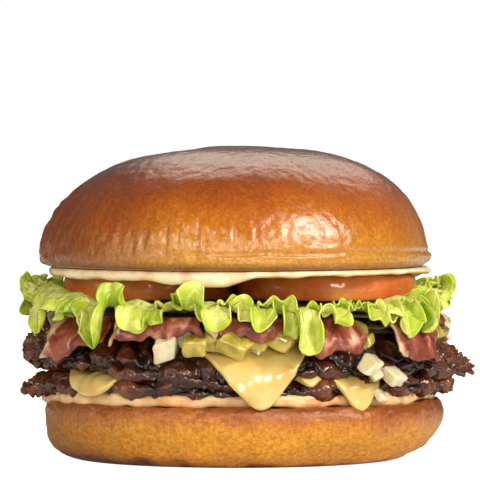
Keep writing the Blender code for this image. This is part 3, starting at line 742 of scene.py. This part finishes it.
def ham_grid(number, middle, half_width, lean, low_left, low_right, fold, hang_radius):
    """A strip that runs out flat, turns down round an arc of radius fold and hangs. Its sides waver,
    and wrinkles run down it."""
    columns, rows = 40, 66
    across = np.linspace(0, 1, columns)[None, :]
    along = np.linspace(0, 1, rows)[:, None]
    flat_place = stacked(across * half_width / 3, along * 9, 5.0 * number)
    ragged = 1 + 0.16 * cloud(flat_place, 0.9, 400) * np.abs(2 * across - 1)
    angle = middle + (2 * across - 1) * half_width * (0.75 + 0.25 * along) * ragged + lean * along * along
    hanging = ramp((along - 0.42) / 0.3)
    ripple = 0.6 * np.sin(across * 2.6 * math.pi + middle) + 1.1 * cloud(flat_place, 0.8, 401)
    outside = hang_radius + (ripple + 0.5 * cloud(flat_place, 0.33, 402)) * hanging
    flat = outside - fold - HAM_INNER
    tear = 1.2 * cloud(stacked(across * half_width / 2, 0.0, 9.0 * number), 0.6, 403)
    low = low_left + (low_right - low_left) * across + tear
    turn_end = np.arccos(np.clip((low - HAM_HEIGHT + fold) / fold, 0, 1))
    drop = np.maximum(HAM_HEIGHT - fold - low, 0)
    run = along * (flat + fold * turn_end + drop)
    turned = np.clip((run - flat) / fold, 0, turn_end)
    fallen = np.maximum(run - flat - fold * turn_end, 0)
    radius = HAM_INNER + np.minimum(run, flat) + fold * np.sin(turned)
    height = HAM_HEIGHT - fold * (1 - np.cos(turned)) - fallen
    chart = stacked(across + 4 * number, along * 3.5)
    return polar(angle, radius, height)[::-1], chart[::-1]


def cured_ham():
    """Dry-cured ham: translucent dark red lean with soft streaks of fat along the slice, a pale fat
    rim, and a film of oil."""
    finish = new_finish(
        "dry-cured ham", Roughness=0.42, IOR=1.42, Subsurface_Weight=0.25, Subsurface_Scale=0.001,
        Subsurface_Radius=(1.0, 0.35, 0.25), Coat_Weight=0.3, Coat_Roughness=0.22,
    )[0]
    chart = add_node(finish, "UVMap", uv_map="chart").outputs[0]
    streaks = add_node(finish, "Mapping", {0: chart, "Scale": (2.2, 0.7, 1.0)})
    fat = add_node(finish, "TexNoise", {"Vector": streaks, "Scale": 2.4, "Detail": 5.0, "Distortion": 0.7})
    tone = add_node(finish, "ValToRGB", {0: fat}, stops=(
        (0.28, "#4e1a0e"), (0.46, "#80321e"), (0.58, "#9c523a"), (0.7, "#d0a486"),
    ))
    across = add_node(finish, "SeparateXYZ", {0: chart}).outputs["X"]
    sides = add_node(finish, "Math", {0: across, 1: 1.0}, operation="PINGPONG")
    wander = add_node(finish, "Math", {0: fat, 1: 0.4, 2: sides}, operation="MULTIPLY_ADD")
    rim = add_node(finish, "MapRange", {0: wander, 1: 0.3, 2: 0.24, 3: 0.0, 4: 0.9})
    shaded = add_node(finish, "Mix", {0: rim, 6: tone, 7: linear("#e2c09c")}, data_type="RGBA")
    relief = add_node(finish, "Bump", {"Strength": 0.5, "Distance": 0.0006, "Height": fat})
    wire(finish, Base_Color=shaded.outputs[2], Normal=relief)
    return finish


ham_finish = cured_ham()
for number, strip in enumerate(HAM_STRIPS, start=1):
    ham_skin, ham_chart = ham_grid(number, *strip)
    ham = open_sheet(f"ham_{number}", ham_skin, ham_finish, HAM_THICKNESS, ham_chart)
    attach(ham, "root")
    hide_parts(f"ham_strip_{number}")


# Lettuce: four leaves of a frilly green lettuce. Each lies flat inside the burger, and past its edge
# grows faster than it can lie flat, so it buckles into deep ruffles with smaller ones on them. A fold
# is its angle, its steepness in radians, its length, and how far past FRILL_START it begins.
LETTUCE_LEAVES = {
    "front": (-49.0, 33.0), "right": (33.2, 127.0), "back": (127.2, 221.0), "left": (221.2, 310.8),
}
LETTUCE_HEIGHT = 44.6
LEAF_RISE = (
    (-137, 0.0), (-100, 2.0), (-78, 4.5), (-60, 3.0), (-45, 0.5), (45, 0.0), (60, 2.0), (76, 3.5),
    (95, 2.0), (125, 0.6), (180, 1.0),
)
LEAF_THICKNESS = 0.45
LEAF_INNER = 1.5
FRILL_START = 55.0
FRILL_BEND = 5.0
FLAT_ROWS = 8
FRONT_FOLDS = (
    (-91.0, -1.0, 7.2, -1.6), (-84.0, 0.35, 5.4, -0.6), (-77.0, -0.5, 6.4, -1.0), (-71.5, -0.5, 6.5, 0.0),
    (-64.0, -1.35, 15.5, 2.2), (-56.5, -0.7, 8.0, 1.4), (-50.5, -1.15, 10.5, 1.4), (-45.5, -0.5, 8.0, 1.2),
    (-39.4, -1.35, 14.5, 1.8), (-34.5, 1.3, 8.0, 0.5), (-28.5, -1.1, 10.0, 0.8), (-22.5, -0.9, 8.0, 0.8),
    (-18.0, -0.2, 6.0, 0.5), (-12.5, 1.35, 9.6, 0.2), (-5.5, -1.0, 9.5, 0.8), (0.5, 0.7, 6.6, 0.4),
    (5.5, -1.2, 9.5, 0.9), (11.5, 0.9, 6.4, 0.4), (17.4, -1.4, 15.0, 2.0), (23.0, -0.3, 7.0, 0.8),
    (28.0, -0.9, 8.0, 0.8), (33.0, 0.7, 5.5, 0.2), (38.0, -0.9, 9.0, 1.0), (43.0, -0.2, 8.5, 0.8),
    (48.5, -1.15, 12.0, 1.6), (53.0, 0.0, 8.0, 1.4), (56.5, -1.15, 12.0, 1.4), (62.0, 0.65, 7.0, 0.4),
    (67.5, -0.8, 8.5, 0.2), (76.0, 0.85, 7.6, 0.0), (84.0, -0.8, 6.5, -3.0), (92.0, 0.7, 6.5, -1.2),
    (101.0, -1.0, 7.2, -1.8),
)
REAR_FOLD_STEP = 5.6
REAR_FOLDS = tuple(
    (101.0 + REAR_FOLD_STEP * number, *((1.15, 7.8) if number % 2 else (-1.1, 8.8)), 0.4)
    for number in range(1, 30)
)
FOLDS = FRONT_FOLDS + REAR_FOLDS


def fold_values(angle, column):
    """One value of the folds, smooth from fold to fold round the burger."""
    return around(angle, [(fold[0], fold[column]) for fold in FOLDS])


def leaf_grid(first, last, seed, shift=0.0, size=1.0, setback=0.0, columns=540, frill_rows=54):
    """Rows run from the leaf's inner end to its frilled edge. Past FRILL_START the surface leaves at
    an angle that swings from fold to fold round the burger, so each column is an arc and then a line,
    summed step by step. Folds lean over at their crests into loops, by an amount that goes as their
    spacing, and two sizes of smaller ruffle grow towards the edge. shift, size and setback turn,
    shrink and draw in a leaf that lies behind another."""
    across = np.linspace(0, 1, columns)[None, :]
    angle = first + (last - first) * across
    turned = angle + shift
    ring = polar(angle[0], RIM, 0.0)[None]
    fold_angles = np.array([fold[0] for fold in FOLDS] + [FOLDS[0][0] + 360])
    wrapped = (turned - fold_angles[0]) % 360 + fold_angles[0]
    phase = math.pi * np.interp(wrapped, fold_angles, np.arange(len(fold_angles)))
    gaps = np.diff(fold_angles)
    spacing = around(turned, list(zip(fold_angles[:-1], (gaps + np.roll(gaps, 1)) / 2)))
    end_fade = ramp(np.minimum(across, 1 - across) * (last - first) / 4)
    steep = fold_values(turned, 1) * (0.45 + 0.55 * end_fade)
    ends = bump(angle, -80, 25) + bump(angle, 82, 30)
    teeth = 0.5 * cloud(ring, 1.9, seed + 2) + 0.2 * cloud(ring, 0.9, seed + 3)
    free = fold_values(turned, 2) * (0.75 + 0.25 * end_fade) + teeth * (0.5 + 1.6 * ends)
    level_way = (1 - np.minimum(np.abs(steep) / 0.8, 1)) * (1 - np.minimum(ends, 1))
    free = (free + 0.7 * cloud(ring, 5.0, seed + 4)) * size * (1 - 0.4 * level_way)
    start = FRILL_START + fold_values(turned, 3) - setback
    out = np.linspace(0, 1, frill_rows)[:, None]
    run = out * free
    curl = 1.7 * cloud(ring, 5.0, seed + 5) * ramp((out - 0.6) / 0.4)
    direction = steep * np.minimum(run / FRILL_BEND, 1) + curl
    step = free / (frill_rows - 1)
    radius = start + (np.cumsum(np.cos(direction), axis=0) - np.cos(direction)) * step
    height = LETTUCE_HEIGHT + (np.cumsum(np.sin(direction), axis=0) - np.sin(direction)) * step
    inner = np.linspace(0, 1, FLAT_ROWS, endpoint=False)[:, None]
    flat_radius = LEAF_INNER + (start - LEAF_INNER) * inner
    radius = np.concatenate([flat_radius, radius])
    height = np.concatenate([LETTUCE_HEIGHT + 0 * flat_radius, height])
    height = height + (around(angle, LEAF_RISE) + 0.25 * setback) * ramp((radius - 46) / 8)
    outer = np.concatenate([0 * inner, out])
    swell = 0.8 * np.cos(phase) * ramp((radius - 38) / 14)
    swell = swell + 0.9 * cloud(polar(angle, radius, 0.0), 9.0, seed + 10) * ramp((radius - 20) / 20)
    ripple = (0.7 * swell - 1.1 * bump(angle, 22, 30) - 0.5 * bump(angle, -25, 25)) * (1 - outer)
    along = np.radians(angle) * RIM
    spot = stacked(along, radius, 0.0)
    middling = 1.25 * np.sin(4 * phase + 3.0 * cloud(spot, 9.0, seed + 6)) * outer**2
    small = 0.5 * cloud(spot, 2.8, seed + 7) * ramp(outer / 0.3)
    small = (small + 0.25 * cloud(spot, 1.3, seed + 8) * outer) * (1 + 0.5 * ends)
    lean = 0.27 * spacing * np.sin(2 * phase) + 0.6 * cloud(ring, 4.0, seed + 9)
    sideways = lean * outer**1.4 * end_fade * size
    tilt = np.concatenate([0 * flat_radius, direction])
    lift = ripple + (middling + small) * np.cos(tilt)
    push = -(middling + small) * np.sin(tilt)
    grid = polar(angle + np.degrees(sideways / radius), radius + push, height + lift)
    chart = stacked(along / 10, outer)
    return grid[::-1], chart[::-1]


def crisp_leaf():
    """Lettuce leaf: thin, crisp and watery, so light comes through it. It is yellow-green, paler
    along its fine veins and towards the rib, and has a waxy gloss."""
    finish, place = new_finish(
        "frilly lettuce leaf", Roughness=0.33, IOR=1.4, Subsurface_Weight=0.4,
        Subsurface_Scale=0.0016, Subsurface_Radius=(0.7, 1.0, 0.15), Coat_Weight=0.15,
        Coat_Roughness=0.2,
    )
    chart = add_node(finish, "UVMap", uv_map="chart").outputs[0]
    patch = add_node(finish, "TexNoise", {"Vector": place, "Scale": 1 / (9 * MM), "Detail": 4.0})
    green = add_node(finish, "ValToRGB", {0: patch}, stops=(
        (0.32, "#8eac1c"), (0.5, "#bccb44"), (0.66, "#dfe47e"),
    ))
    bent = add_node(finish, "TexNoise", {"Vector": chart, "Scale": 1.4, "Detail": 3.0})
    wander = add_node(finish, "VectorMath", {
        0: bent.outputs[1], 1: (0.35, 0.5, 0.0), 2: chart,
    }, operation="MULTIPLY_ADD")
    long = add_node(finish, "Mapping", {0: wander, "Scale": (2.6, 1.2, 1.0)})
    veins = add_node(finish, "TexVoronoi", {"Vector": long, "Scale": 1.5}, feature="DISTANCE_TO_EDGE")
    line = add_node(finish, "MapRange", {0: veins, 1: 0.0, 2: 0.09, 3: 1.0, 4: 0.0})
    weight = add_node(finish, "Math", {0: line, 1: 0.4}, operation="MULTIPLY")
    veined = add_node(finish, "Mix", {0: weight, 6: green, 7: linear("#dbe38c")}, data_type="RGBA")
    rib = add_node(finish, "SeparateXYZ", {0: chart}).outputs["Y"]
    pale = add_node(finish, "MapRange", {0: rib, 1: 0.0, 2: 0.35, 3: 0.7, 4: 0.0})
    colour = add_node(finish, "Mix", {
        0: pale, 6: veined.outputs[2], 7: linear("#d5de8e"),
    }, data_type="RGBA")
    crinkle = add_node(finish, "TexNoise", {"Vector": place, "Scale": 1 / (1.8 * MM), "Detail": 3.0})
    rough = add_node(finish, "Math", {0: line, 1: -0.5, 2: crinkle}, operation="MULTIPLY_ADD")
    relief = add_node(finish, "Bump", {"Strength": 0.6, "Distance": 0.0009, "Height": rough})
    wire(finish, Base_Color=colour.outputs[2], Normal=relief)
    return finish


leaf_finish = crisp_leaf()
for side, span in LETTUCE_LEAVES.items():
    leaf_skin, leaf_chart = leaf_grid(*span, seed=500)
    leaf = open_sheet(f"leaf_{side}", leaf_skin, leaf_finish, LEAF_THICKNESS, leaf_chart)
    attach(leaf, "root")
    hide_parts(f"lettuce_leaf_{side}")
    under_skin, under_chart = leaf_grid(
        *span, seed=540, shift=3.4, size=0.78, setback=2.4, columns=400, frill_rows=34
    )
    under = open_sheet(f"leaf_{side}_inner", under_skin, leaf_finish, LEAF_THICKNESS, under_chart)
    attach(under, "root")


# Tomato: three thick slices cut across the fruit and laid on the lettuce, two in front and one behind.
# Each is a disc of wet flesh inside a ring of smooth skin, and fine drops of water stand on it.
TOMATO = (45.4, 52.8)
TOMATO_SLICES = {"left": (-25.5, -6.0, 24.2), "right": (24.6, -10.0, 25.6), "back": (0.5, 31.3, 18.8)}


def tomato_grid(centre_x, centre_y, radius, columns=256, rows=50):
    """A disc with a superellipse rim of power 44, wavering slightly in outline."""
    angle, slope = round_and_up(columns, rows, math.pi / 2)
    share = np.clip(np.cos(slope), 0, 1) ** (1 / 22)
    out = radius * share * (1 + 0.012 * np.sin(3 * np.radians(angle) + centre_x)) / 1.012
    half = (TOMATO[1] - TOMATO[0]) / 2
    grid = polar(angle, out, sum(TOMATO) / 2 + np.sin(slope) * half)
    grid = grid + np.array([centre_x, centre_y, 0.0])
    return raised(grid, 0.18 * cloud(grid, 7.0, 600) + 0.07 * cloud(grid, 2.5, 601) - 0.1)


def tomato_flesh():
    """Ripe tomato: orange-red skin and flesh that let light in, beaded with fine drops that sparkle."""
    finish, place = new_finish(
        "ripe tomato", Roughness=0.45, IOR=1.38, Subsurface_Weight=0.4, Subsurface_Scale=0.003,
        Subsurface_Radius=(1.0, 0.4, 0.15), Coat_Weight=0.9, Coat_Roughness=0.08,
    )
    patch = add_node(finish, "TexNoise", {"Vector": place, "Scale": 1 / (10 * MM), "Detail": 5.0})
    tone = add_node(finish, "ValToRGB", {0: patch}, stops=(
        (0.35, "#bc561c"), (0.52, "#ce6e2c"), (0.68, "#dc8c48"),
    ))
    drops = add_node(finish, "TexVoronoi", {"Vector": place, "Scale": 1 / (1.3 * MM)})
    bead = add_node(finish, "MapRange", {0: drops, 1: 0.0, 2: 0.36, 3: 1.0, 4: 0.0})
    relief = add_node(finish, "Bump", {"Strength": 1.0, "Distance": 0.0012, "Height": bead})
    wire(finish, Base_Color=tone, Coat_Normal=relief)
    return finish


tomato_finish = tomato_flesh()
for side, form in TOMATO_SLICES.items():
    tomato = closed_shell(f"tomato_{side}", tomato_grid(*form), tomato_finish)
    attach(tomato, "root")
    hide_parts(f"tomato_slice_{side}")


# Mayonnaise: spread on the crown's cut face and pressed out over the tomato, where its edge sags
# in slow drips.
MAYO_REACH = 54.2
MAYO_TOP = 54.3
MAYO_BASE = 52.9
MAYO_LOW = (
    (-75, 51.4), (-50, 51.6), (-32, 51.7), (-17, 50.4), (-5, 50.0), (6, 52.4), (24, 52.8),
    (60, 53.0), (90, 52.2), (112, 50.8), (140, 52.2), (165, 50.6), (190, 52.2), (225, 50.8), (255, 52.3),
)


def mayo_grid(columns=480, rows=50):
    """A thin disc whose underside drops near its rim to a height that varies round it."""
    angle, level = round_and_up(columns, rows)
    ring = polar(angle, 53.0, 0.0)
    reach = MAYO_REACH + 0.5 * cloud(ring, 8.0, 700) + 0.25 * cloud(ring, 3.0, 701)
    out = reach * (1 - level**4)
    hang = around(angle, MAYO_LOW) + 0.35 * cloud(ring, 5.0, 702)
    low = MAYO_BASE + (hang - MAYO_BASE) * ramp((out - 50.4) / 1.6)
    half = (MAYO_TOP - low) / 2 * round_nose(reach - out, 1.4)
    return polar(angle, out, (MAYO_TOP + low) / 2 + np.sign(level) * half)


mayo = closed_shell("mayo_spread", mayo_grid(), creamy("mayonnaise", "#fbe6c2", "#e0b58a", 5.0))
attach(mayo, "root")
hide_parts("mayonnaise")


# Crown of the bun: the domed top half of a brioche roll, brushed with egg before baking. It is deep
# brown on top and golden low down, with a crease round the lip where it rose, and wrinkled flanks.
CROWN_BASE = 54.4
CROWN_TOP = 88.4
CROWN_RADIUS = 55.7
CROWN_CENTRE_X = -1.7
CROWN_LIP = 3.1
CREASE_HEIGHT = 59.0
LOWER_CREASE_HEIGHT = 57.2
SPLIT_ANGLE = 343
KNOB_ANGLE = 88


def crown_grid(columns=640, rows=130):
    """A flat cut face, a quarter round at the lip, and a dome whose height follows a superellipse, a
    little fuller on the right. Creases and wrinkles are sunk along it."""
    angle, level = round_and_up(columns, rows)
    turn = np.radians(angle)
    radius = CROWN_RADIUS * (1 + 0.010 * np.sin(2 * turn + 0.6) + 0.007 * np.sin(3 * turn + 2))
    widest = CROWN_BASE + CROWN_LIP
    fullness = 2.75 + 0.35 * np.sin(turn)
    face, lip = 0.2, 0.16
    roll = np.clip((level + 1 - face) / lip, 0, 1) * math.pi / 2
    rise = np.clip((level + 1 - face - lip) / (2 - face - lip), 0, 1) * math.pi / 2
    share = np.cos(rise)
    under = (radius - CROWN_LIP * (1 - np.sin(roll))) * np.clip((level + 1) / face, 0, 1)
    out = np.where(rise > 0, radius * share, under)
    dome = widest + (CROWN_TOP - widest) * np.sqrt(np.maximum(1 - share**fullness, 0))
    height = np.where(rise > 0, dome, widest - CROWN_LIP * np.cos(roll))
    grid = polar(angle, out, height)
    grid[..., 0] += CROWN_CENTRE_X
    wavy = 0.5 * cloud(polar(angle, RIM, 0.0), 9.0, 800)
    crease = 0.75 * bump(height, CREASE_HEIGHT + wavy, 0.45) * ramp((np.sin(turn - 0.35) + 0.7) / 0.6)
    lower_crease = 0.35 * bump(height, LOWER_CREASE_HEIGHT + wavy, 0.3) * bump(angle, 38, 38)
    split = 0.7 * bump(angle, SPLIT_ANGLE, 0.35) * ramp((62 - height) / 4)
    upright = stacked(turn * RIM / 2.2, height / 6.5, 0.0)
    flank = bump(angle, -80, 26) * ramp((82 - height) / 12)
    crinkle = (0.7 * cloud(upright, 1.0, 801) + 0.4 * cloud(upright, 0.45, 807)) * flank
    front = (0.4 * cloud(upright, 1.0, 802) + 0.25 * cloud(upright, 0.4, 808)) * bump(angle, -12, 24)
    shine = (0.10 * cloud(upright, 1.0, 804) + 0.10 * cloud(upright, 0.4, 809)) * bump(angle, 24, 20)
    front = (front + shine) * bump(height, 63, 6.5)
    knob = 1.3 * bump(angle, KNOB_ANGLE, 3.0) * bump(height, LOWER_CREASE_HEIGHT, 2.2)
    soft = 0.5 * cloud(grid, 16.0, 803) - 0.5
    skin = 0.1 * cloud(grid, 2.4, 805) + 0.05 * cloud(grid, 1.1, 806)
    on_crust = ramp((height - CROWN_BASE) / 1.5) * ramp((1.45 - rise) / 0.2 + 0.3)
    sunk = (soft + skin + crinkle + front + knob - crease - lower_crease - split) * on_crust
    return raised(grid, sunk)


def egg_washed_crust():
    """Egg-washed brioche crust: brown where the oven caught its top, amber on its shoulder and gold at its
    foot, with painted shade that dulls it to brown towards its wrinkled left flank, under a hard thin
    glaze that has crazed finely as it dried."""
    finish, place = new_finish(
        "egg-washed brioche crust", Roughness=0.5, IOR=1.4, Specular_IOR_Level=0.2, Coat_Weight=1.0,
        Coat_Roughness=0.1, Coat_IOR=1.62,
    )
    axes = add_node(finish, "SeparateXYZ", {0: place})
    broad = add_node(finish, "TexNoise", {"Vector": place, "Scale": 1 / (22 * MM), "Detail": 4.0})
    waver = add_node(finish, "Math", {0: broad, 1: 0.018, 2: axes.outputs["Z"]}, operation="MULTIPLY_ADD")
    level = add_node(finish, "MapRange", {0: waver, 1: 0.063, 2: 0.096})
    tone = add_node(finish, "ValToRGB", {0: level}, stops=(
        (0.0, "#d4a23c"), (0.2, "#d09426"), (0.42, "#c87a10"), (0.62, "#b05e06"), (0.82, "#924606"),
        (1.0, "#7c3a0a"),
    ))
    # Painted shade: the crust darkens to a dull brown towards the left, away from the key light.
    leftward = add_node(finish, "MapRange", {0: axes.outputs["X"], 1: -0.018, 2: -0.046, 4: 0.8})
    flanked = add_node(finish, "Mix", {0: leftward, 6: tone, 7: linear("#8e400c")}, data_type="RGBA")
    foot = add_node(finish, "MapRange", {0: axes.outputs["Z"], 1: 0.0566, 2: 0.0548, 4: 0.75})
    toasted = add_node(finish, "Mix", {
        0: foot, 6: flanked.outputs[2], 7: linear("#74370f"),
    }, data_type="RGBA")
    blotch = add_node(finish, "TexNoise", {
        "Vector": place, "Scale": 1 / (1.0 * MM), "Detail": 6.0, "Roughness": 0.75,
    })
    mottle = add_node(finish, "ValToRGB", {0: blotch}, stops=(
        (0.34, "#b08c5c"), (0.52, "#dcc094"), (0.64, "#fffef2"),
    ))
    colour = add_node(finish, "Mix", {
        0: 0.75, 6: toasted.outputs[2], 7: mottle,
    }, data_type="RGBA", blend_type="MULTIPLY")
    craze = add_node(finish, "TexNoise", {
        "Vector": place, "Scale": 1 / (0.8 * MM), "Detail": 4.0, "Roughness": 0.65,
    })
    pitted = add_node(finish, "Bump", {"Strength": 0.7, "Distance": 0.0005, "Height": craze})
    glaze = add_node(finish, "Bump", {"Strength": 0.32, "Distance": 0.0004, "Height": craze})
    wire(finish, Base_Color=colour.outputs[2], Normal=pitted, Coat_Normal=glaze)
    return finish


crown = closed_shell("crown", crown_grid(), egg_washed_crust())
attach(crown, "root")
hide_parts("crown_bun")


# Studio: a white table top and backdrop, a key light on the right, others low in front and high on
# the left, one behind that puts a sheen on the crown, and a weak fill. The rest of the room stays
# dark, as round a lit table, so that glossy things keep their own colour.
def seen_white(tree_owner, seen, unseen):
    """A strength that is one value where the eye meets the surface and another where light does."""
    ray = add_node(tree_owner, "LightPath").outputs["Is Camera Ray"]
    return add_node(tree_owner, "MapRange", {0: ray, 3: unseen, 4: seen}).outputs[0]


bpy.ops.mesh.primitive_plane_add(size=12.0, location=(0, 0, 0))
table = bpy.context.object
table.name = "table_top"
white_board = new_finish(
    "white painted board", Roughness=0.8, Base_Color=(0.8, 0.8, 0.8, 1.0), Emission_Color=(1, 1, 1, 1),
)[0]
wire(white_board, Emission_Strength=seen_white(white_board, 0.95, 0.1))
table.data.materials.append(white_board)


def soft_light(name, place, wide, high, watts, colour):
    """A softbox that faces the burger's middle."""
    lamp = bpy.data.lights.new(name, "AREA")
    lamp.shape = "RECTANGLE"
    lamp.size = wide
    lamp.size_y = high
    lamp.energy = watts
    lamp.color = linear(colour)[:3]
    holder = bpy.data.objects.new(name, lamp)
    holder.location = place
    facing = np.array([0, 0, 0.05]) - np.array(place)
    dip = math.atan2(np.hypot(facing[0], facing[1]), -facing[2])
    holder.rotation_euler = (dip, 0, math.atan2(facing[0], -facing[1]) + math.pi)
    bpy.context.scene.collection.objects.link(holder)


soft_light("key light", (1.12, -0.92, 0.92), 0.78, 0.40, 27, "#fff8ec")
soft_light("top light", (0.25, 1.55, 1.25), 1.3, 0.8, 6.5, "#fff2e0")
soft_light("front light", (0.25, -1.75, 0.42), 0.5, 0.5, 10, "#fff4e4")
soft_light("left light", (-0.85, -1.5, 0.85), 0.5, 0.36, 10, "#fff6e8")
soft_light("fill light", (-1.6, -0.9, 0.5), 1.0, 1.0, 5.5, "#fff4e4")

sky = bpy.data.worlds.new("studio")
sky.use_nodes = True
sky_light = sky.node_tree.nodes["Background"]
sky_light.inputs[0].default_value = (1, 1, 1, 1)
sky.node_tree.links.new(seen_white(sky, 1.0, 0.12), sky_light.inputs[1])
bpy.context.scene.world = sky
bpy.context.scene.view_settings.view_transform = "Standard"

CAMERA_DISTANCE = 1.4
CAMERA_HEIGHT = 0.094
CAMERA_DIP = 1.322
LENS = 370.4
camera_data = bpy.data.cameras.new("camera")
camera_data.sensor_width = 36.0
camera_data.lens = LENS
camera = bpy.data.objects.new("camera", camera_data)
camera.location = (0.0, -CAMERA_DISTANCE, CAMERA_HEIGHT)
camera.rotation_euler = (math.radians(90 - CAMERA_DIP), 0, 0)
bpy.context.scene.collection.objects.link(camera)
bpy.context.scene.camera = camera
